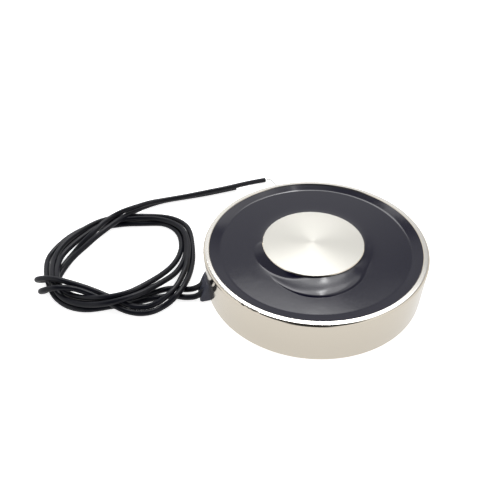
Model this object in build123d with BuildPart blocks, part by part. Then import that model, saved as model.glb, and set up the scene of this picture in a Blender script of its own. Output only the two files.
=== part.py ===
from build123d import *
from math import pi, tan
import os

# Flat round holding electromagnet: a turned steel pot with a centre pole, a wound coil
# potted in black epoxy, and a pair of loose hook-up leads wound once round by hand.
# The back face lies on z = 0, the working face looks up, and the leads leave towards -X.

# Run-out of cutting shapes past a face
cut_margin = 1.0

# Steel pot
body_d = 100.0
body_h = 21.0
pole_share = 0.456
rim_wall = 2.7
back_t = 4.5
rim_round = 1.2
rim_inner_break = 0.25
pole_break = 0.3
back_break = 0.5

# Mounting thread M8 in the back, cut as its tapping bore
thread_bore_d = 6.8
thread_depth = 12.0
thread_mouth_d = 8.4

# Bobbin, winding and tape
bobbin_gap = 0.2
bobbin_wall = 1.2
bobbin_flange = 1.2
flange_lip = 0.4
resin_cover = 3.2
joint_space = 7.7
tape_t = 0.3

# Potting
resin_recess = 1.9
cast_gap = 0.02
meniscus_rise = 0.9
pole_meniscus_w = 5.0
rim_meniscus_w = 3.4
lobe_center = (0.5, -8.5)
lobe_r = 25.0
lobe_rise = 0.75
lobe_edge_w = 3.0

# Leads
lead_d = 2.8
joint_depth = 6.6
lead_slot_w = 7.2
lead_slot_h = 4.8
lead_hole_z = 7.1
lead_hole_overrun = 0.4
joint_rise = 0.4
wall_rise = 0.2
wall_bend_in = 0.5
lead_pitch = 3.4
bore_gap = 0.04
lead_rest = 0.1
sleeve_wall = 0.25
sleeve_reach = 2.8
sleeve_stub = 2.4
tip_d = 1.1
wire_d = 0.7

# Strain relief, with its slanted front as (distance from the wall, height)
boot_reach = 4.6
boot_root_in = 2.0
boot_w = 9.8
boot_top = 10.0
boot_foot = 0.3
boot_front = ((4.0, 2.8), (1.5, 8.2), (0.5, boot_top))
boot_round = 1.2

# Where the leads come down in front of it
lead_dip = 4.9
lead_dip_z = 2.2
lead_landing = 10.9

# Hand-wound loop of both leads
coil_stack = 8.5
coil_round = 2.0
wrap_top = 11.2
wrap_center = (-125.0, 19.5)
wrap_size = (19.0, 12.0)
wrap_turn = -20.0

body_r = body_d / 2
pole_r = body_r * pole_share
rim_inner_r = body_r - rim_wall
resin_z = body_h - resin_recess
lead_r = lead_d / 2
floor_z = lead_r + lead_rest
exit_x = -(body_r + boot_reach)
dip_x = -(body_r + lead_dip)
landing_x = -(body_r + lead_landing)
joint_x = -(body_r - joint_depth)
wall_x = -(body_r - wall_bend_in)
coil_h = resin_z - back_t - bobbin_gap - resin_cover
winding_r = rim_inner_r - joint_space
hole_plane = Plane(origin=(-body_r - cut_margin, 0, lead_hole_z), x_dir=(0, 1, 0), z_dir=(1, 0, 0))

os.makedirs("parts", exist_ok=True)


def save(piece, name):
    piece.part.label = name
    export_step(piece.part, f"parts/{name}.step")


def bend_radii(route):
    """The largest radius that each corner of a route takes: 0.45 of its shorter run as the arc's tangent."""
    radii = []
    for before, corner, after in zip(route, route[1:], route[2:]):
        incoming = Vector(*corner) - Vector(*before)
        outgoing = Vector(*after) - Vector(*corner)
        half_turn = incoming.get_angle(outgoing) / 2 * pi / 180
        radii.append(0.45 * min(incoming.length, outgoing.length) / tan(half_turn))
    return radii


def tube(name, route, diameter):
    """A round cord along a route of straight runs joined by tangent arcs."""
    radii = bend_radii(route)
    with BuildPart() as piece:
        with BuildLine() as path:
            FilletPolyline(*route, radius=radii)
        run = path.wires()[0]
        with BuildSketch(Plane(origin=run @ 0, z_dir=run % 0)):
            Circle(diameter / 2)
        sweep(path=run)
    if name:
        fill = piece.part.volume / (pi * diameter**2 / 4 * run.length)
        print(name, "bends", [round(r, 1) for r in radii], "length", round(run.length, 1), "fill", round(fill, 4))
    return piece


# Pot: rim, back plate and centre pole turned from one bar
with BuildPart() as pot_shell:
    Cylinder(body_r, body_h, align=(Align.CENTER, Align.CENTER, Align.MIN))
    fillet(edges().filter_by(GeomType.CIRCLE).sort_by(Axis.Z)[-1], rim_round)
    chamfer(edges().filter_by(GeomType.CIRCLE).sort_by(Axis.Z)[0], back_break)
    with BuildSketch(Plane.XY.offset(body_h)):
        Circle(rim_inner_r)
        Circle(pole_r, mode=Mode.SUBTRACT)
    extrude(amount=back_t - body_h, mode=Mode.SUBTRACT)
    top_rings = edges().filter_by(GeomType.CIRCLE).group_by(Axis.Z)[-1].sort_by(SortBy.RADIUS)
    chamfer(top_rings[0], pole_break)
    top_rings = edges().filter_by(GeomType.CIRCLE).group_by(Axis.Z)[-1].sort_by(SortBy.RADIUS)
    chamfer(top_rings[1], rim_inner_break)
    with BuildSketch(Plane.XY):
        Circle(thread_bore_d / 2)
    extrude(amount=thread_depth, mode=Mode.SUBTRACT)
    thread_lip = edges().filter_by(GeomType.CIRCLE).group_by(Axis.Z)[0].sort_by(SortBy.RADIUS)[0]
    chamfer(thread_lip, (thread_mouth_d - thread_bore_d) / 2)
    with BuildSketch(hole_plane):
        SlotOverall(lead_slot_w, lead_slot_h)
    extrude(amount=cut_margin + rim_wall + lead_hole_overrun, mode=Mode.SUBTRACT)
save(pot_shell, "pot_shell")

# Bobbin: a moulded spool that slides over the pole
bobbin_base = back_t + bobbin_gap
bobbin_bore_r = pole_r + bobbin_gap
spool_r = bobbin_bore_r + bobbin_wall
flange_r = winding_r + tape_t + flange_lip
with BuildPart() as coil_bobbin:
    with BuildSketch(Plane.XY.offset(bobbin_base)):
        Circle(flange_r)
        Circle(bobbin_bore_r, mode=Mode.SUBTRACT)
    extrude(amount=coil_h)
    with BuildSketch(Plane.XY.offset(bobbin_base + bobbin_flange)):
        Circle(flange_r + cut_margin)
        Circle(spool_r, mode=Mode.SUBTRACT)
    extrude(amount=coil_h - 2 * bobbin_flange, mode=Mode.SUBTRACT)
save(coil_bobbin, "coil_bobbin")

# Leads where they leave: out of the potting, down through the strain relief to the floor
lead_exits = {
    "a": [
        (joint_x, lead_pitch / 2, lead_hole_z + joint_rise),
        (wall_x, lead_pitch / 2, lead_hole_z + wall_rise),
        (dip_x, 2.5, lead_dip_z),
        (landing_x, 3.7, floor_z),
    ],
    "b": [
        (joint_x, -lead_pitch / 2, lead_hole_z + joint_rise),
        (wall_x, -lead_pitch / 2, lead_hole_z + wall_rise),
        (dip_x, -2.9, lead_dip_z),
        (landing_x, -1.5, floor_z),
    ],
}
exit_tubes = {}
exit_bores = {}
for side, route in lead_exits.items():
    exit_tubes[side] = tube(f"lead_exit_{side}", route, lead_d)
    exit_bores[side] = tube("", route, lead_d + 2 * bore_gap)
    save(exit_tubes[side], f"lead_exit_{side}")

# Heat-shrink sleeves over the soldered joints, with the lead's end inside
joint_sleeves = {}
sleeve_ends = {}
for side, route in lead_exits.items():
    start = Vector(*route[0])
    along = (Vector(*route[1]) - start).normalized()
    sleeve_ends[side] = start - along * sleeve_stub
    with BuildPart() as joint_sleeve:
        with BuildSketch(Plane(origin=sleeve_ends[side], z_dir=along)):
            Circle(lead_r + sleeve_wall)
        extrude(amount=sleeve_stub + sleeve_reach)
        add(exit_bores[side].part, mode=Mode.SUBTRACT)
    joint_sleeves[side] = joint_sleeve
    save(joint_sleeve, f"joint_sleeve_{side}")

# Winding ends: the start and the finish of the wire, out through the tape to the joints
wire_bores = {}
for side, end in sleeve_ends.items():
    wire_plane = Plane(origin=end, z_dir=(1, 0, 0))
    wire_reach = -end.X - winding_r + cut_margin
    with BuildPart() as winding_end:
        with BuildSketch(wire_plane):
            Circle(wire_d / 2)
        extrude(amount=wire_reach)
        for other in joint_sleeves.values():
            add(other.part, mode=Mode.SUBTRACT)
        with BuildSketch(Plane.XY):
            Circle(winding_r + cast_gap)
        extrude(amount=body_h, mode=Mode.SUBTRACT)
    with BuildPart() as wire_bore:
        with BuildSketch(wire_plane):
            Circle(wire_d / 2 + cast_gap)
        extrude(amount=wire_reach)
    wire_bores[side] = wire_bore
    save(winding_end, f"winding_end_{side}")

# Winding: enamelled copper wire, as the solid ring that it fills
window_base = bobbin_base + bobbin_flange + cast_gap
window_h = coil_h - 2 * bobbin_flange - 2 * cast_gap
with BuildPart() as coil_winding:
    with BuildSketch(Plane.XY.offset(window_base)):
        Circle(winding_r - cast_gap)
        Circle(spool_r + cast_gap, mode=Mode.SUBTRACT)
    extrude(amount=window_h)
save(coil_winding, "coil_winding")

# Tape: one turn of polyester film round the winding
with BuildPart() as winding_tape:
    with BuildSketch(Plane.XY.offset(window_base)):
        Circle(winding_r + tape_t)
        Circle(winding_r, mode=Mode.SUBTRACT)
    extrude(amount=window_h)
    for wire_bore in wire_bores.values():
        add(wire_bore.part, mode=Mode.SUBTRACT)
save(winding_tape, "winding_tape")

# Strain relief: a moulded black boot that fills the side hole and slopes down the wall
boot_profile = [(-(body_r + reach), height) for reach, height in boot_front]
with BuildPart() as lead_gland:
    with BuildSketch(Plane.XZ):
        with BuildLine():
            Polyline((-body_r + boot_root_in, boot_foot), (exit_x, boot_foot), *boot_profile,
                     (-body_r + boot_root_in, boot_top), close=True)
        make_face()
    extrude(amount=boot_w / 2, both=True)
    rounded = edges().filter_by_position(Axis.X, exit_x, -body_r)
    fillet(rounded.filter_by_position(Axis.Z, boot_foot, boot_top, inclusive=(False, True)), boot_round)
    with BuildSketch(Plane.XY):
        Circle(body_r + cast_gap)
    extrude(amount=body_h, mode=Mode.SUBTRACT)
    with BuildSketch(hole_plane):
        SlotOverall(lead_slot_w - 2 * cast_gap, lead_slot_h - 2 * cast_gap)
    extrude(amount=cut_margin + rim_wall)
    for bore in exit_bores.values():
        add(bore.part, mode=Mode.SUBTRACT)
save(lead_gland, "lead_gland")

# Potting: black epoxy that fills the pot, creeps up both walls and leaves a lobe beside the pole
resin_in_r = pole_r + cast_gap
resin_out_r = rim_inner_r - cast_gap
with BuildPart() as potting_resin:
    with BuildSketch(Plane.XZ):
        with BuildLine():
            pole_top = (resin_in_r, resin_z + meniscus_rise)
            rim_top = (resin_out_r, resin_z + meniscus_rise)
            pole_foot = (resin_in_r + pole_meniscus_w, resin_z)
            rim_foot = (resin_out_r - rim_meniscus_w, resin_z)
            base_in = (resin_in_r, back_t + cast_gap)
            base_out = (resin_out_r, back_t + cast_gap)
            Spline(pole_top, pole_foot, tangents=((0.6, -1), (1, 0)))
            Line(pole_foot, rim_foot)
            Spline(rim_foot, rim_top, tangents=((1, 0), (0.4, 1)))
            Polyline(rim_top, base_out, base_in, pole_top)
        make_face()
    revolve(axis=Axis.Z)
    with BuildSketch(Plane.XZ.move(Location((*lobe_center, 0)))):
        with BuildLine():
            crown = (0, resin_z + lobe_rise)
            brink = (lobe_r - lobe_edge_w, resin_z + lobe_rise)
            skirt = (lobe_r, resin_z)
            Line(crown, brink)
            Spline(brink, skirt, tangents=((1, 0), (0.5, -1)))
            Polyline(skirt, (lobe_r, resin_z - lobe_rise), (0, resin_z - lobe_rise), crown)
        make_face()
    revolve(axis=Axis(origin=(*lobe_center, 0), direction=(0, 0, 1)))
    with BuildSketch(Plane.XY):
        Circle(resin_in_r)
    extrude(amount=body_h, mode=Mode.SUBTRACT)
    with BuildSketch(Plane.XY.offset(bobbin_base - cast_gap)):
        Circle(flange_r + cast_gap)
    extrude(amount=coil_h + 2 * cast_gap, mode=Mode.SUBTRACT)
    for side, joint_sleeve in joint_sleeves.items():
        add(joint_sleeve.part, mode=Mode.SUBTRACT)
        add(exit_bores[side].part, mode=Mode.SUBTRACT)
        add(wire_bores[side].part, mode=Mode.SUBTRACT)
save(potting_resin, "potting_resin")

# Loop of both leads: two loose turns wrapped once round at the left, as its outer shape
loop_outside = [
    (-51.0, 42.0), (-52.2, 24.0), (-59.3, 2.0), (-78.6, -7.8), (-93.0, -4.6), (-110.0, 1.6),
    (-123.6, 12.6), (-130.0, 34.0), (-125.0, 56.0), (-109.0, 69.0), (-91.0, 73.0), (-70.0, 69.0), (-55.5, 56.5),
]
loop_inside = [
    (-60.2, 38.0), (-63.0, 27.0), (-73.0, 14.0), (-88.0, 6.3), (-100.0, 10.0), (-112.0, 17.5),
    (-116.4, 28.0), (-111.0, 39.0), (-98.0, 49.5), (-87.0, 57.0), (-76.0, 59.6), (-66.5, 54.4),
]
with BuildPart() as lead_coil:
    with BuildSketch():
        with BuildLine():
            Spline(*loop_outside, periodic=True)
        make_face()
        with BuildLine():
            Spline(*loop_inside, periodic=True)
        make_face(mode=Mode.SUBTRACT)
    extrude(amount=coil_stack)
    fillet(faces().sort_by(Axis.Z)[-1].edges(), coil_round)
    with BuildSketch():
        with Locations(Location((*wrap_center, 0), (0, 0, wrap_turn))):
            Ellipse(wrap_size[0] / 2, wrap_size[1] / 2)
    extrude(amount=wrap_top)
    fillet(faces().sort_by(Axis.Z)[-1].edges(), coil_round)
save(lead_coil, "lead_coil")

# Tails: the two free ends, off the loop and along the floor behind the pot
lead_tails = {
    "a": [
        (-92.7, 66.2, 6.8), (-86.2, 68.1, 7.9), (-79.3, 69.9, 7.9), (-71.3, 75.0, 5.9),
        (-62.5, 76.5, 4.9), (-50.7, 77.3, 4.4), (-38.5, 78.4, 4.2), (-26.3, 79.0, 4.3),
        (-14.9, 81.1, 3.8), (-6.7, 84.4, 2.0), (-0.2, 85.3, floor_z),
    ],
    "b": [
        (-88.1, 63.5, 6.5), (-80.6, 72.7, 3.3), (-72.3, 78.8, 1.6), (-62.6, 81.0, floor_z),
        (-50.5, 80.8, floor_z), (-38.4, 80.8, floor_z), (-27.8, 81.5, floor_z), (-19.1, 82.2, floor_z),
    ],
}
for side, route in lead_tails.items():
    save(tube(f"lead_tail_{side}", route, lead_d), f"lead_tail_{side}")

# Tinned ends: one bent over, one cut short
tip_routes = {
    "a": [(-0.2, 85.3, floor_z), (2.9, 85.6, floor_z), (4.7, 81.9, 1.0), (4.9, 78.1, 0.8)],
    "b": [(-19.1, 82.2, floor_z), (-18.5, 82.3, floor_z), (-17.9, 82.3, floor_z - 0.1)],
}
for side, route in tip_routes.items():
    save(tube(f"tinned_tip_{side}", route, tip_d), f"tinned_tip_{side}")
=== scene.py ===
from math import atan2, cos, degrees, exp, hypot, radians, sin

import bpy
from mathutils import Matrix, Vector


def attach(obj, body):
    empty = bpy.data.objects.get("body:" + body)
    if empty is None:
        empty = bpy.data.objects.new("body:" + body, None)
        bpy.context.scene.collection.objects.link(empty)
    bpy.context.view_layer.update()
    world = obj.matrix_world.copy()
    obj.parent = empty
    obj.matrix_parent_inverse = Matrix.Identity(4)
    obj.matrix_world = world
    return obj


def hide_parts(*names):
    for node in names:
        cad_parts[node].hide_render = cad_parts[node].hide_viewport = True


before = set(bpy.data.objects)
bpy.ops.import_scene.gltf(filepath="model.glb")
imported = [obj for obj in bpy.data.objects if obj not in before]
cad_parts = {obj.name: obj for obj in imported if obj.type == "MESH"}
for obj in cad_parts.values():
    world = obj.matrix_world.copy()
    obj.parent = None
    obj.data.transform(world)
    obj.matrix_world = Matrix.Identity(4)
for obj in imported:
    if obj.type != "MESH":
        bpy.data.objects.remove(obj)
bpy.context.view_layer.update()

MM = 0.001


# ---------------------------------------------------------------- camera

camera_data = bpy.data.cameras.new("camera")
camera = bpy.data.objects.new("camera", camera_data)
bpy.context.scene.collection.objects.link(camera)
camera.location = (-0.06252, -0.15872, 0.16279)
camera.rotation_euler = (radians(48.2281), radians(4.2078), radians(-10.3688))
camera_data.sensor_width = 36
camera_data.lens = 34.452
camera_data.shift_x = 0.06505
camera_data.shift_y = 0.01743
camera_data.clip_start = 0.01
bpy.context.scene.camera = camera
bpy.context.scene.view_settings.view_transform = "Standard"


# ---------------------------------------------------------------- node helpers

def new_material(name, color, roughness, metallic=0.0, ior=1.5, specular=0.5):
    material = bpy.data.materials.new(name)
    material.use_nodes = True
    shader = material.node_tree.nodes["Principled BSDF"]
    shader.inputs["Base Color"].default_value = (*color, 1)
    shader.inputs["Roughness"].default_value = roughness
    shader.inputs["Metallic"].default_value = metallic
    shader.inputs["IOR"].default_value = ior
    shader.inputs["Specular IOR Level"].default_value = specular
    return material, material.node_tree, shader


def new_group(name, inputs, outputs):
    """A node group whose inputs, given with their defaults, and outputs are all plain values."""
    group = bpy.data.node_groups.new(name, "ShaderNodeTree")
    for label, value in inputs.items():
        socket = group.interface.new_socket(label, in_out="INPUT", socket_type="NodeSocketFloat")
        socket.default_value = value
    for label in outputs:
        group.interface.new_socket(label, in_out="OUTPUT", socket_type="NodeSocketFloat")
    return group, group.nodes.new("NodeGroupInput"), group.nodes.new("NodeGroupOutput")


def place_group(tree, group, **values):
    node = tree.nodes.new("ShaderNodeGroup")
    node.node_tree = group
    for label, value in values.items():
        node.inputs[label.replace("_", " ")].default_value = value
    return node


def math_node(tree, operation, *values):
    """A maths node on values that are each a socket or a plain number."""
    node = tree.nodes.new("ShaderNodeMath")
    node.operation = operation
    for socket, value in zip(node.inputs, values):
        if isinstance(value, (int, float)):
            socket.default_value = value
        else:
            tree.links.new(value, socket)
    return node.outputs[0]


def map_range(tree, value, low, high, out_low, out_high):
    """A smooth step from out_low, where the value is low, to out_high, where it is high."""
    node = tree.nodes.new("ShaderNodeMapRange")
    node.interpolation_type = "SMOOTHSTEP"
    tree.links.new(value, node.inputs["Value"])
    node.inputs["From Min"].default_value = low
    node.inputs["From Max"].default_value = high
    node.inputs["To Min"].default_value = out_low
    node.inputs["To Max"].default_value = out_high
    return node.outputs["Result"]


def mix_values(tree, factor, first, second):
    """A mix of two values; a mix node's sockets 2 and 3 are its plain values."""
    node = tree.nodes.new("ShaderNodeMix")
    tree.links.new(factor, node.inputs["Factor"])
    tree.links.new(first, node.inputs[2])
    tree.links.new(second, node.inputs[3])
    return node.outputs[0]


def mix_colors(tree, factor, first, second):
    """A mix of two colours, which are sockets 6 and 7; the first may come from a node."""
    node = tree.nodes.new("ShaderNodeMix")
    node.data_type = "RGBA"
    tree.links.new(factor, node.inputs["Factor"])
    if isinstance(first, tuple):
        node.inputs[6].default_value = (*first, 1)
    else:
        tree.links.new(first, node.inputs[6])
    node.inputs[7].default_value = (*second, 1)
    return node.outputs[2]


def bump(tree, shader, height, strength, distance):
    node = tree.nodes.new("ShaderNodeBump")
    node.inputs["Strength"].default_value = strength
    node.inputs["Distance"].default_value = distance
    tree.links.new(height, node.inputs["Height"])
    tree.links.new(node.outputs[0], shader.inputs["Normal"])


# ---------------------------------------------------------------- shared effects

# Most of what a noise node puts out lies between these two
NOISE_LOW, NOISE_HIGH = 0.3, 0.7
# A face counts as level where the upright part of its normal passes from the first to the second
FACE_FROM, FACE_TO = 0.85, 0.98

# Cloudiness: slow and fine variation of a finish, from 0 to 1
cloud_group, cloud_in, cloud_out = new_group(
    "cloudiness", {"Coarse scale": 60.0, "Fine scale": 900.0}, ("Coarse", "Fine"),
)
cloud_place = cloud_group.nodes.new("ShaderNodeTexCoord")
for label in ("Coarse", "Fine"):
    noise = cloud_group.nodes.new("ShaderNodeTexNoise")
    noise.inputs["Detail"].default_value = 3.0
    cloud_group.links.new(cloud_place.outputs["Object"], noise.inputs["Vector"])
    cloud_group.links.new(cloud_in.outputs[f"{label} scale"], noise.inputs["Scale"])
    cloud_group.links.new(noise.outputs["Fac"], cloud_out.inputs[label])

# Turning marks: rings round the axis on a level face, and lines round a wall
turned_group, turned_in, turned_out = new_group(
    "turning_marks", {"Pitch": 0.0003}, ("Marks", "Face", "Radius"),
)
turned_place = turned_group.nodes.new("ShaderNodeTexCoord")
turned_xyz = turned_group.nodes.new("ShaderNodeSeparateXYZ")
turned_group.links.new(turned_place.outputs["Object"], turned_xyz.inputs[0])
turned_normal = turned_group.nodes.new("ShaderNodeSeparateXYZ")
turned_group.links.new(turned_place.outputs["Normal"], turned_normal.inputs[0])
square_x, square_y = (
    math_node(turned_group, "MULTIPLY", turned_xyz.outputs[axis], turned_xyz.outputs[axis])
    for axis in ("X", "Y")
)
radius = math_node(turned_group, "SQRT", math_node(turned_group, "ADD", square_x, square_y))
upright = math_node(turned_group, "ABSOLUTE", turned_normal.outputs["Z"])
face = map_range(turned_group, upright, FACE_FROM, FACE_TO, 0, 1)
across = mix_values(turned_group, face, turned_xyz.outputs["Z"], radius)
turned_noise = turned_group.nodes.new("ShaderNodeTexNoise")
turned_noise.noise_dimensions = "1D"
turned_noise.inputs["Scale"].default_value = 1.0
turned_noise.inputs["Detail"].default_value = 2.0
turn = math_node(turned_group, "DIVIDE", across, turned_in.outputs["Pitch"])
turned_group.links.new(turn, turned_noise.inputs["W"])
turned_group.links.new(turned_noise.outputs["Fac"], turned_out.inputs["Marks"])
turned_group.links.new(face, turned_out.inputs["Face"])
turned_group.links.new(radius, turned_out.inputs["Radius"])


def cloudy(tree, shader, coarse, fine, smooth, rough, follow="Coarse", low=NOISE_LOW):
    """Clouds of a coarse and a fine scale, one of which varies the roughness."""
    clouds = place_group(tree, cloud_group, Coarse_scale=coarse, Fine_scale=fine)
    roughness = map_range(tree, clouds.outputs[follow], low, NOISE_HIGH, smooth, rough)
    tree.links.new(roughness, shader.inputs["Roughness"])
    return clouds


# ---------------------------------------------------------------- materials

# Bright nickel over turned steel: mirror walls, and a satin pole face with turning marks
# The walls' tint is the nickel's own colour. The level faces get a paler, whiter tint, which is a
# painted highlight for the bright panel they mirror. The pole face gets a darker tint, which is
# painted shade that holds down the light it catches.
WALL_TINT, LIT_FACE_TINT, SHADED_POLE_TINT = (0.68, 0.622, 0.53), (0.76, 0.735, 0.69), (0.447, 0.438, 0.406)
POLE_RADIUS, POLE_PAST = 0.0229, 0.0236
nickel, tree, shader = new_material("bright_nickel", (0.65, 0.60, 0.525), 0.12, metallic=1.0)
shader.inputs["Anisotropic"].default_value = 0.4
shader.inputs["Anisotropic Rotation"].default_value = 0.25
tangent = tree.nodes.new("ShaderNodeTangent")
tangent.direction_type = "RADIAL"
tangent.axis = "Z"
tree.links.new(tangent.outputs[0], shader.inputs["Tangent"])
marks = place_group(tree, turned_group, Pitch=0.00035)
clouds = place_group(tree, cloud_group, Coarse_scale=45.0, Fine_scale=700.0)
on_pole = map_range(tree, marks.outputs["Radius"], POLE_RADIUS, POLE_PAST, 1, 0)
pole_face = math_node(tree, "MULTIPLY", marks.outputs["Face"], on_pole)
# Painted highlight on the level faces, then painted shade on the pole face
painted_face_tint = mix_colors(tree, marks.outputs["Face"], WALL_TINT, LIT_FACE_TINT)
tree.links.new(mix_colors(tree, pole_face, painted_face_tint, SHADED_POLE_TINT), shader.inputs["Base Color"])
plain_rough = map_range(tree, clouds.outputs["Coarse"], NOISE_LOW, NOISE_HIGH, 0.10, 0.15)
turned_rough = map_range(tree, marks.outputs["Marks"], NOISE_LOW, NOISE_HIGH, 0.28, 0.32)
roughness = mix_values(tree, pole_face, plain_rough, turned_rough)
tree.links.new(roughness, shader.inputs["Roughness"])
relief = math_node(tree, "MULTIPLY", marks.outputs["Marks"], pole_face)
bump(tree, shader, relief, 0.06, 0.00002)

# Cast epoxy: black and glossy, with the slight waves of a poured surface
epoxy, tree, shader = new_material("black_epoxy", (0.005, 0.0045, 0.0175), 0.09, ior=1.43)
clouds = cloudy(tree, shader, 70.0, 1400.0, 0.07, 0.12, follow="Fine", low=0.35)
bump(tree, shader, clouds.outputs["Coarse"], 0.2, 0.0002)

# Moulded rubber of the strain relief
boot, tree, shader = new_material("boot_rubber", (0.036, 0.038, 0.062), 0.42)
clouds = cloudy(tree, shader, 250.0, 4000.0, 0.36, 0.5)
bump(tree, shader, clouds.outputs["Fine"], 0.3, 0.00004)

# Soft PVC insulation of the leads
insulation, tree, shader = new_material(
    "lead_insulation", (0.007, 0.0075, 0.0125), 0.45, specular=0.0,
)
shader.inputs["Coat Weight"].default_value = 0.5
shader.inputs["Coat Roughness"].default_value = 0.3
clouds = cloudy(tree, shader, 180.0, 3000.0, 0.36, 0.46)
bump(tree, shader, clouds.outputs["Fine"], 0.15, 0.00003)

# Tinned copper
tinned, tree, shader = new_material("tinned_copper", (0.82, 0.82, 0.81), 0.35, metallic=1.0)
cloudy(tree, shader, 400.0, 5000.0, 0.25, 0.45)

# Natural nylon of the spool
nylon, tree, shader = new_material("natural_nylon", (0.72, 0.68, 0.56), 0.5)
cloudy(tree, shader, 80.0, 1500.0, 0.42, 0.58)

# Enamelled copper, with the lay of the wires
enamel, tree, shader = new_material("enamelled_copper", (0.60, 0.23, 0.08), 0.25, metallic=1.0)
wires = tree.nodes.new("ShaderNodeTexWave")
wires.bands_direction = "Z"
wires.inputs["Scale"].default_value = 450.0
place = tree.nodes.new("ShaderNodeTexCoord")
tree.links.new(place.outputs["Object"], wires.inputs["Vector"])
bump(tree, shader, wires.outputs["Fac"], 0.6, 0.0001)

# Amber polyester film over the winding
film, tree, shader = new_material("polyester_film", (0.58, 0.33, 0.07), 0.22)
cloudy(tree, shader, 90.0, 1200.0, 0.16, 0.3)

# Heat-shrink sleeve
sleeve, tree, shader = new_material("shrink_sleeve", (0.012, 0.012, 0.013), 0.55)
cloudy(tree, shader, 300.0, 3000.0, 0.5, 0.62)

FINISHES = {
    "pot_shell": nickel, "potting_resin": epoxy, "lead_gland": boot,
    "tinned_tip_a": tinned, "tinned_tip_b": tinned, "coil_bobbin": nylon,
    "coil_winding": enamel, "winding_end_a": enamel, "winding_end_b": enamel,
    "winding_tape": film, "joint_sleeve_a": sleeve, "joint_sleeve_b": sleeve,
}
for name, material in FINISHES.items():
    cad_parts[name].material_slots[0].material = material


# ---------------------------------------------------------------- potting

# Section of the cast epoxy in mm, as (radius, height): the meniscus at the pole and the level
# surface out to the rim, as points that each become one ring of the mesh
CAST_INNER, CAST_OUTER, CAST_BASE, CAST_LEVEL = 22.82, 47.28, 4.52, 19.1
LOBE_RING = 33.5
LEVEL_RINGS = [
    29.0, 29.6, 30.2, 30.8, 31.3, 31.7, 32.1, 32.4, 32.7, 32.95, 33.15, 33.35, LOBE_RING,
    33.6, 34.2, 35.5, 37.0, 38.5, 40.0, 40.8, *(41.4 + 0.25 * step for step in range(23)),
    47.05, CAST_OUTER,
]
CAST_TOP = [
    (CAST_INNER, 20.0), (23.1, 19.85), (23.45, 19.71), (23.9, 19.57), (24.4, 19.46),
    (25.0, 19.36), (25.6, 19.28), (26.3, 19.21), (27.0, 19.16), (27.6, 19.13), (28.3, 19.11),
    *((ring, CAST_LEVEL) for ring in LEVEL_RINGS),
]
CAST_SECTION = [*CAST_TOP, (CAST_OUTER, CAST_BASE), (CAST_INNER, CAST_BASE)]
# Room for the spool inside it
SPOOL_ROOM = [(22.98, 4.68), (40.32, 4.68), (40.32, 15.92), (22.98, 15.92)]

# Edge of the low lobe that the last pour left beside the pole, as (angle, radius, rise, roll)
LOBE_EDGE = [
    (-180, 27.5, 0, 0.6), (-158, 27.6, 0, 0.6), (-147, 28.4, 0.05, 0.5), (-137, 30.0, 0.2, 0.5),
    (-125, 31.8, 0.42, 0.55), (-116, 32.9, 0.6, 0.75), (-107, 33.4, 0.72, 1.0),
    (-98, 33.3, 0.8, 1.25), (-89, 32.7, 0.84, 1.4), (-80, 31.8, 0.84, 1.4), (-73, 30.9, 0.82, 1.3),
    (-66, 29.9, 0.76, 1.15), (-61, 29.0, 0.66, 1.05), (-56, 28.1, 0.54, 1.0),
    (-49, 27.2, 0.48, 1.1), (-36, 26.8, 0.42, 1.4), (-22, 26.8, 0.34, 1.6),
    (-10, 26.8, 0.14, 1.75), (0, 26.6, 0, 1.75), (180, 27.5, 0, 0.6),
]
# Collar of epoxy that climbs the pole, as (angle, radius of its foot)
COLLAR_FOOT = [
    (-205, 23.0), (-195, 26.6), (-184, 27.6), (-172, 27.9), (-162, 27.9), (-153, 27.6),
    (-144, 27.1), (-134, 26.3), (-126, 25.3), (-117, 23.6), (-108, 22.6),
]
COLLAR_ROLL, COLLAR_SLOPE = 1.5, 0.33
# The lobe and the collar take in this share of the meniscus below them
MENISCUS_SHARE = 0.6
# Where the epoxy starts to climb the rim, as (angle, radius, slope)
RIM_LINE = [
    (-180, 42.3, 0.33), (-162, 43.0, 0.3), (-140, 43.3, 0.2), (-115, 43.0, 0.14),
    (-60, 43.0, 0.14), (-42, 43.3, 0.24), (-29, 43.4, 0.36), (0, 43.2, 0.42), (23, 43.6, 0.42),
    (42, 44.0, 0.42), (61, 44.2, 0.42), (81, 43.9, 0.42), (102, 43.8, 0.42), (121, 43.6, 0.42),
    (138, 42.7, 0.38), (150, 42.3, 0.34), (171, 42.2, 0.33), (180, 42.3, 0.33),
]
# The climb rolls in over this many mm, and starts this share of them inside the line
RIM_ROLL, RIM_ROLL_INSIDE = 1.0, 0.6
# Rings between these radii are moved, so that one of them, LOBE_RING, follows the lobe's edge
LOBE_START, LOBE_END = 24.4, 40.0
# Only points less than SKIN_DEPTH below the level belong to the surface
SPIN_STEPS, SKIN_DEPTH, CREASE_ANGLE = 240, 0.5, radians(40)


def spun(name, section, flip=False):
    """A closed section in mm, turned round the axis."""
    mesh = bpy.data.meshes.new(name)
    corners = [(radius * MM, 0, height * MM) for radius, height in section]
    count = len(section)
    mesh.from_pydata(corners, [(i, (i + 1) % count) for i in range(count)], [])
    piece = bpy.data.objects.new(name, mesh)
    bpy.context.scene.collection.objects.link(piece)
    bpy.ops.object.select_all(action="DESELECT")
    piece.select_set(True)
    bpy.context.view_layer.objects.active = piece
    bpy.ops.object.mode_set(mode="EDIT")
    bpy.ops.mesh.select_all(action="SELECT")
    bpy.ops.mesh.spin(steps=SPIN_STEPS, angle=radians(360), center=(0, 0, 0), axis=(0, 0, 1))
    bpy.ops.mesh.select_all(action="SELECT")
    bpy.ops.mesh.remove_doubles(threshold=0.000001)
    bpy.ops.mesh.normals_make_consistent(inside=flip)
    bpy.ops.object.mode_set(mode="OBJECT")
    return piece


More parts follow.
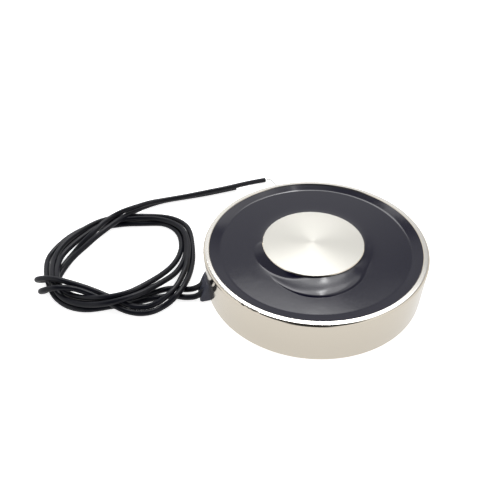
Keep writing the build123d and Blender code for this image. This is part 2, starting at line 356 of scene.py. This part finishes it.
def read_table(table, angle):
    """Values of a table at an angle, on a smooth curve through its lines."""
    angles = [line[0] for line in table]
    if not angles[0] <= angle <= angles[-1]:
        return None
    at = max(i for i in range(len(table) - 1) if angles[i] <= angle)
    step = angles[at + 1] - angles[at]
    share = (angle - angles[at]) / step
    values = []
    for column in range(1, len(table[0])):
        def slope(i):
            low, high = max(i - 1, 0), min(i + 1, len(table) - 1)
            return (table[high][column] - table[low][column]) / (angles[high] - angles[low])
        values.append(
            table[at][column] * (1 + 2 * share) * (1 - share) ** 2
            + table[at + 1][column] * share ** 2 * (3 - 2 * share)
            + step * share * (1 - share) * (slope(at) * (1 - share) - slope(at + 1) * share)
        )
    return values


def cast_height(reach):
    """Height of the section at a radius."""
    for (near, low), (far, high) in zip(CAST_TOP, CAST_TOP[1:]):
        if reach <= far:
            return low + (high - low) * (reach - near) / (far - near)
    return CAST_TOP[-1][1]


def ramp(run, roll):
    """Height of a slope of 1 after a run from its start, where it rolls in."""
    run = max(run, 0)
    bent = min(run, roll)
    return bent * bent / (2 * roll) + run - bent


cast = spun("potting_cast", CAST_SECTION)
for vertex in cast.data.vertices:
    x, y, z = vertex.co / MM
    if z < CAST_LEVEL - SKIN_DEPTH:
        continue
    reach = hypot(x, y)
    angle = degrees(atan2(y, x))
    edge, rise, roll = read_table(LOBE_EDGE, angle)
    if LOBE_START < reach <= LOBE_RING:
        share = (reach - LOBE_START) / (LOBE_RING - LOBE_START)
        moved = LOBE_START + share * (edge - LOBE_START)
    elif LOBE_RING < reach < LOBE_END:
        share = (LOBE_END - reach) / (LOBE_END - LOBE_RING)
        moved = LOBE_END - share * (LOBE_END - edge)
    else:
        moved = reach
    swell = max(rise, 0) * (1 - exp(-max(edge - moved, 0) / roll))
    foot = read_table(COLLAR_FOOT, angle - 360 if angle > 0 else angle)
    if foot:
        swell += COLLAR_SLOPE * ramp(foot[0] - moved, COLLAR_ROLL)
    height = cast_height(moved)
    height += max(0, swell - MENISCUS_SHARE * (height - CAST_LEVEL))
    line, slope = read_table(RIM_LINE, angle)
    height += slope * ramp(moved - line + RIM_ROLL_INSIDE * RIM_ROLL, RIM_ROLL)
    vertex.co = (x * moved / reach * MM, y * moved / reach * MM, height * MM)
room = spun("spool_room", SPOOL_ROOM, flip=True)
bpy.ops.object.select_all(action="DESELECT")
room.select_set(True)
cast.select_set(True)
bpy.context.view_layer.objects.active = cast
bpy.ops.object.join()
bpy.ops.object.shade_smooth_by_angle(angle=CREASE_ANGLE)
cast.data.materials.append(epoxy)
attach(cast, "root")
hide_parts("potting_resin")


# ---------------------------------------------------------------- leads

LEAD_D = 2.8

# Middle line of each lead in mm: out of the boot, twice round the loop, a wrap at the far left
# over the strands and back below them, and the tail behind the pot
LEAD_A = [
    (-43.4, 1.7, 7.5), (-49.5, 1.7, 7.3), (-54.9, 2.5, 2.2), (-60.9, 3.7, 1.5), (-64.0, 5.7, 1.5),
    (-69.2, 6.6, 1.5), (-75.1, 5.7, 1.5), (-81.5, 3.6, 1.5), (-87.9, 2.5, 1.5), (-95.4, 3.9, 1.5),
    (-102.0, 5.1, 1.5), (-107.6, 7.1, 1.5), (-113.0, 10.9, 1.5), (-116.9, 14.6, 2.6),
    (-120.0, 18.6, 4.25), (-122.4, 25.3, 4.25), (-123.7, 33.9, 3.6), (-123.9, 43.1, 1.8),
    (-121.3, 50.2, 1.5), (-117.0, 56.0, 1.5), (-110.6, 61.0, 1.5), (-102.3, 64.2, 1.5),
    (-94.4, 64.5, 1.5), (-86.5, 64.0, 1.5), (-78.7, 62.0, 1.5), (-71.5, 60.3, 1.5),
    (-65.9, 58.6, 1.5), (-61.3, 54.0, 1.5), (-58.5, 48.2, 1.5), (-57.7, 41.4, 1.5),
    (-58.4, 34.3, 1.5), (-60.8, 27.2, 2.0), (-64.5, 20.5, 3.0), (-68.8, 15.2, 4.2),
    (-73.8, 10.6, 5.4), (-78.7, 6.8, 6.4), (-85.1, 3.2, 7.0), (-91.8, 2.2, 7.0), (-98.3, 2.6, 7.0),
    (-104.7, 5.2, 5.6), (-110.7, 8.9, 4.25), (-115.4, 11.6, 5.0), (-118.7, 15.0, 6.4),
    (-120.6, 21.2, 7.0), (-121.7, 30.9, 5.8), (-121.1, 39.9, 4.25), (-118.3, 45.4, 4.25),
    (-113.5, 51.5, 4.25), (-107.7, 57.1, 4.25), (-101.7, 62.3, 4.25), (-93.8, 64.5, 4.25),
    (-86.0, 65.3, 4.0), (-78.1, 63.9, 3.9), (-70.9, 61.9, 3.9), (-65.0, 58.7, 3.9),
    (-59.9, 54.2, 3.9), (-56.3, 48.1, 3.9), (-54.8, 41.9, 3.9), (-54.6, 35.0, 3.9),
    (-55.5, 27.8, 3.9), (-56.9, 21.1, 4.25), (-58.4, 15.8, 4.25), (-60.7, 10.7, 4.25),
    (-63.3, 5.8, 4.25), (-66.5, 1.6, 4.25), (-70.1, -1.1, 3.8), (-73.9, -3.0, 3.0),
    (-78.5, -3.8, 2.4), (-82.9, -3.3, 2.6), (-87.2, -2.0, 3.6), (-91.6, 1.7, 4.25),
    (-96.2, 5.3, 4.25), (-100.3, 8.0, 5.4), (-105.5, 11.0, 6.8), (-111.3, 13.9, 8.2),
    (-117.1, 16.3, 9.8), (-122.0, 18.9, 9.8), (-126.2, 21.1, 9.0), (-129.5, 23.2, 7.4),
    (-131.4, 25.6, 5.0), (-131.6, 27.8, 2.6), (-129.7, 28.5, 1.5), (-126.2, 28.2, 1.5),
    (-123.5, 29.6, 1.5), (-121.4, 33.6, 1.5), (-119.0, 38.9, 1.5), (-115.8, 43.9, 1.8),
    (-111.9, 48.4, 3.2), (-107.7, 51.5, 5.0), (-102.7, 55.6, 6.4), (-98.2, 61.3, 7.0),
    (-92.7, 66.2, 6.8), (-86.2, 68.1, 7.9), (-79.3, 69.9, 7.9), (-71.3, 75.0, 5.9),
    (-62.5, 76.5, 4.9), (-50.7, 77.3, 4.4), (-38.5, 78.4, 4.2), (-26.3, 79.0, 4.3),
    (-14.9, 81.1, 3.8), (-6.7, 84.4, 2.0), (-0.2, 85.3, 1.5),
]
LEAD_B = [
    (-43.4, -1.7, 7.5), (-49.5, -1.7, 7.3), (-54.9, -2.9, 2.2), (-60.9, -1.5, 1.5),
    (-64.9, 0.6, 1.5), (-70.4, 1.8, 1.5), (-76.6, 1.9, 1.5), (-83.1, 1.3, 1.5), (-89.2, 0.7, 1.5),
    (-95.1, 1.8, 1.5), (-101.6, 1.7, 1.5), (-107.6, 2.4, 1.5), (-113.6, 5.0, 1.5),
    (-118.4, 8.9, 1.5), (-122.3, 13.6, 2.4), (-124.4, 18.3, 4.2), (-126.5, 25.6, 4.25),
    (-128.2, 35.2, 2.8), (-128.6, 44.9, 1.5), (-125.9, 51.0, 1.5), (-122.2, 56.5, 1.5),
    (-116.8, 62.2, 1.5), (-110.2, 66.2, 1.5), (-102.3, 69.1, 1.5), (-94.9, 69.9, 1.5),
    (-87.5, 68.9, 1.5), (-79.6, 66.6, 1.5), (-71.7, 64.0, 1.5), (-65.2, 60.8, 1.5),
    (-59.7, 56.2, 1.5), (-56.6, 50.0, 1.5), (-55.5, 43.4, 1.5), (-55.8, 35.3, 1.5),
    (-57.2, 27.6, 1.5), (-60.8, 19.2, 2.2), (-64.9, 13.4, 3.2), (-70.3, 8.9, 4.4),
    (-75.7, 4.9, 5.6), (-81.4, 1.4, 6.6), (-87.4, -0.5, 7.0), (-93.4, -1.1, 6.8),
    (-99.5, -0.3, 6.0), (-105.8, 2.1, 4.6), (-111.5, 4.8, 4.25), (-116.8, 8.8, 4.25),
    (-120.3, 13.1, 5.4), (-122.3, 18.8, 7.0), (-123.8, 27.8, 6.4), (-124.3, 38.2, 4.8),
    (-122.7, 45.8, 4.25), (-119.5, 52.5, 4.25), (-114.4, 58.1, 4.25), (-108.0, 63.2, 4.25),
    (-101.2, 67.0, 4.25), (-93.8, 68.4, 4.25), (-85.9, 68.3, 3.8), (-78.1, 67.9, 2.6),
    (-70.3, 67.0, 1.5), (-63.0, 63.9, 1.5), (-56.7, 58.8, 1.5), (-52.8, 51.7, 1.5),
    (-52.1, 43.7, 1.5), (-52.7, 34.9, 1.5), (-53.5, 26.4, 1.5), (-55.1, 19.5, 1.5),
    (-57.5, 11.6, 2.6), (-59.9, 5.4, 4.25), (-62.4, 1.2, 4.25), (-65.5, -2.2, 4.25),
    (-68.6, -3.9, 2.8), (-72.3, -4.8, 1.5), (-76.2, -6.4, 1.5), (-80.7, -6.6, 1.5),
    (-85.1, -5.3, 1.5), (-89.5, -3.6, 2.6), (-93.5, -1.2, 4.25), (-97.1, 2.5, 4.25),
    (-100.9, 6.1, 4.25), (-105.5, 8.3, 6.4), (-110.6, 10.7, 7.8), (-115.1, 11.6, 9.2),
    (-119.6, 12.0, 9.8), (-123.7, 13.2, 8.8), (-126.8, 14.6, 7.2), (-128.8, 16.9, 4.8),
    (-129.0, 19.1, 2.4), (-127.2, 20.5, 1.5), (-124.8, 22.7, 1.5), (-122.4, 27.0, 1.5),
    (-120.0, 32.9, 1.8), (-116.5, 37.7, 3.0), (-112.2, 42.0, 4.2), (-107.2, 46.0, 5.2),
    (-101.7, 50.7, 6.4), (-95.3, 56.0, 7.0), (-88.1, 63.5, 6.5), (-80.6, 72.7, 3.3),
    (-72.3, 78.8, 1.6), (-62.6, 81.0, 1.5), (-50.5, 80.8, 1.5), (-38.4, 80.8, 1.5),
    (-27.8, 81.5, 1.5), (-19.1, 82.2, 1.5),
]


def lead(name, route):
    curve = bpy.data.curves.new(name, "CURVE")
    curve.dimensions = "3D"
    spline = curve.splines.new("NURBS")
    spline.points.add(len(route) - 1)
    for point, place in zip(spline.points, route):
        point.co = (*(v * MM for v in place), 1)
    spline.order_u = 3
    spline.use_endpoint_u = True
    spline.resolution_u = 6
    curve.bevel_depth = LEAD_D / 2 * MM
    curve.bevel_resolution = 5
    curve.use_fill_caps = True
    piece = bpy.data.objects.new(name, curve)
    bpy.context.scene.collection.objects.link(piece)
    curve.materials.append(insulation)
    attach(piece, "root")
    return piece


lead_a = lead("lead_a", LEAD_A)
lead_b = lead("lead_b", LEAD_B)
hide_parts("lead_exit_a", "lead_tail_a", "lead_coil")
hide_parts("lead_exit_b", "lead_tail_b")


# ---------------------------------------------------------------- floor

# A white sheet that glows to the camera and in mirrors, and is darker in mirrors than it looks
PAPER, PAPER_GLOW, MIRRORED_DROP = 0.75, 0.85, 0.6
bpy.ops.object.select_all(action="DESELECT")
bpy.ops.mesh.primitive_plane_add(size=6, location=(0, 0, 0))
floor = bpy.context.object
floor.name = "floor"
paper, tree, shader = new_material("white_paper", (PAPER, PAPER, PAPER), 0.9, specular=0.0)
path = tree.nodes.new("ShaderNodeLightPath")
glow = math_node(tree, "MULTIPLY", path.outputs["Is Camera Ray"], PAPER_GLOW)
glow = math_node(tree, "MULTIPLY_ADD", path.outputs["Is Glossy Ray"], PAPER_GLOW, glow)
shade = math_node(tree, "MULTIPLY_ADD", path.outputs["Is Glossy Ray"], -MIRRORED_DROP, PAPER)
shader.inputs["Emission Color"].default_value = (1, 1, 1, 1)
tree.links.new(glow, shader.inputs["Emission Strength"])
tree.links.new(shade, shader.inputs["Base Color"])
floor.data.materials.append(paper)


# ---------------------------------------------------------------- light

PANEL_GLOW, JOINT_GLOW = 3.9, 13.0
world = bpy.data.worlds.new("studio")
bpy.context.scene.world = world
world.use_nodes = True
tree = world.node_tree
direction = tree.nodes.new("ShaderNodeTexCoord")


def aimed_at(azimuth, elevation):
    """How far along one direction the sky lies: 1 there, 0 at right angles to it."""
    node = tree.nodes.new("ShaderNodeVectorMath")
    node.operation = "DOT_PRODUCT"
    node.inputs[1].default_value = (
        cos(radians(elevation)) * cos(radians(azimuth)),
        cos(radians(elevation)) * sin(radians(azimuth)),
        sin(radians(elevation)),
    )
    tree.links.new(direction.outputs["Generated"], node.inputs[0])
    return node.outputs["Value"]


def patch(azimuth, elevation, outer, inner, around, within):
    """A soft round patch of sky, with the cosines of its outer and inner radius."""
    return map_range(tree, aimed_at(azimuth, elevation), outer, inner, around, within)


# The dim room on the camera's side, and dim things high on the left and low on the right
sky = patch(-111, 60, 0.74, 0.87, 1.05, 0.04)
sky = math_node(tree, "MULTIPLY", sky, patch(125, 58, 0.88, 0.95, 1, 0.55))
sky = math_node(tree, "MULTIPLY", sky, patch(20, 40, 0.82, 0.95, 1, 0.55))
# The bright panel high on the far side, and three beside it
panel = patch(67, 60, 0.966, 0.982, 0, 1)
for side_panel in (
    patch(78, 58, 0.966, 0.982, 0, 0.7),
    patch(44, 58, 0.95, 0.985, 0, 0.42),
    patch(88, 57, 0.982, 0.993, 0, 1.5),
):
    panel = math_node(tree, "MAXIMUM", panel, side_panel)
sky = math_node(tree, "MULTIPLY_ADD", panel, PANEL_GLOW, sky)
# Dark things low in front, which the rolled edge of the rim shows as a line
sky = math_node(tree, "MULTIPLY", sky, patch(-108, 14, 0.9, 0.97, 1, 0.05))
# The narrow bright joint between two ceiling panels, from high on the far side to near the zenith
sky_xyz = tree.nodes.new("ShaderNodeSeparateXYZ")
tree.links.new(direction.outputs["Generated"], sky_xyz.inputs[0])
joint = map_range(tree, math_node(tree, "ABSOLUTE", aimed_at(-12.9, -8.9)), 0.008, 0.024, 1, 0)
for limit in (
    map_range(tree, sky_xyz.outputs["Z"], 0.74, 0.79, 0, 1),
    map_range(tree, sky_xyz.outputs["Z"], 0.95, 0.975, 1, 0),
    patch(67, 0, 0.0, 0.1, 0, 1),
):
    joint = math_node(tree, "MULTIPLY", joint, limit)
sky = math_node(tree, "MULTIPLY_ADD", joint, JOINT_GLOW, sky)

sky_color = tree.nodes.new("ShaderNodeCombineColor")
for channel in ("Red", "Green", "Blue"):
    tree.links.new(sky, sky_color.inputs[channel])
ambient = tree.nodes["Background"]
ambient.inputs["Strength"].default_value = 1.0
tree.links.new(sky_color.outputs[0], ambient.inputs["Color"])
# The camera itself sees plain white
white = tree.nodes.new("ShaderNodeBackground")
white.inputs["Color"].default_value = (1, 1, 1, 1)
path = tree.nodes.new("ShaderNodeLightPath")
blend = tree.nodes.new("ShaderNodeMixShader")
tree.links.new(path.outputs["Is Camera Ray"], blend.inputs[0])
tree.links.new(ambient.outputs[0], blend.inputs[1])
tree.links.new(white.outputs[0], blend.inputs[2])
tree.links.new(blend.outputs[0], tree.nodes["World Output"].inputs["Surface"])

softbox_light = bpy.data.lights.new("back_softbox", "AREA")
softbox_light.shape = "RECTANGLE"
softbox_light.size, softbox_light.size_y = 0.30, 0.20
softbox_light.energy = 0.12
softbox = bpy.data.objects.new("back_softbox", softbox_light)
bpy.context.scene.collection.objects.link(softbox)
softbox.location = (0.13, 0.31, 0.58)
aim = Vector((0, 0, 0.02)) - softbox.location
softbox.rotation_euler = aim.to_track_quat("-Z", "Y").to_euler()
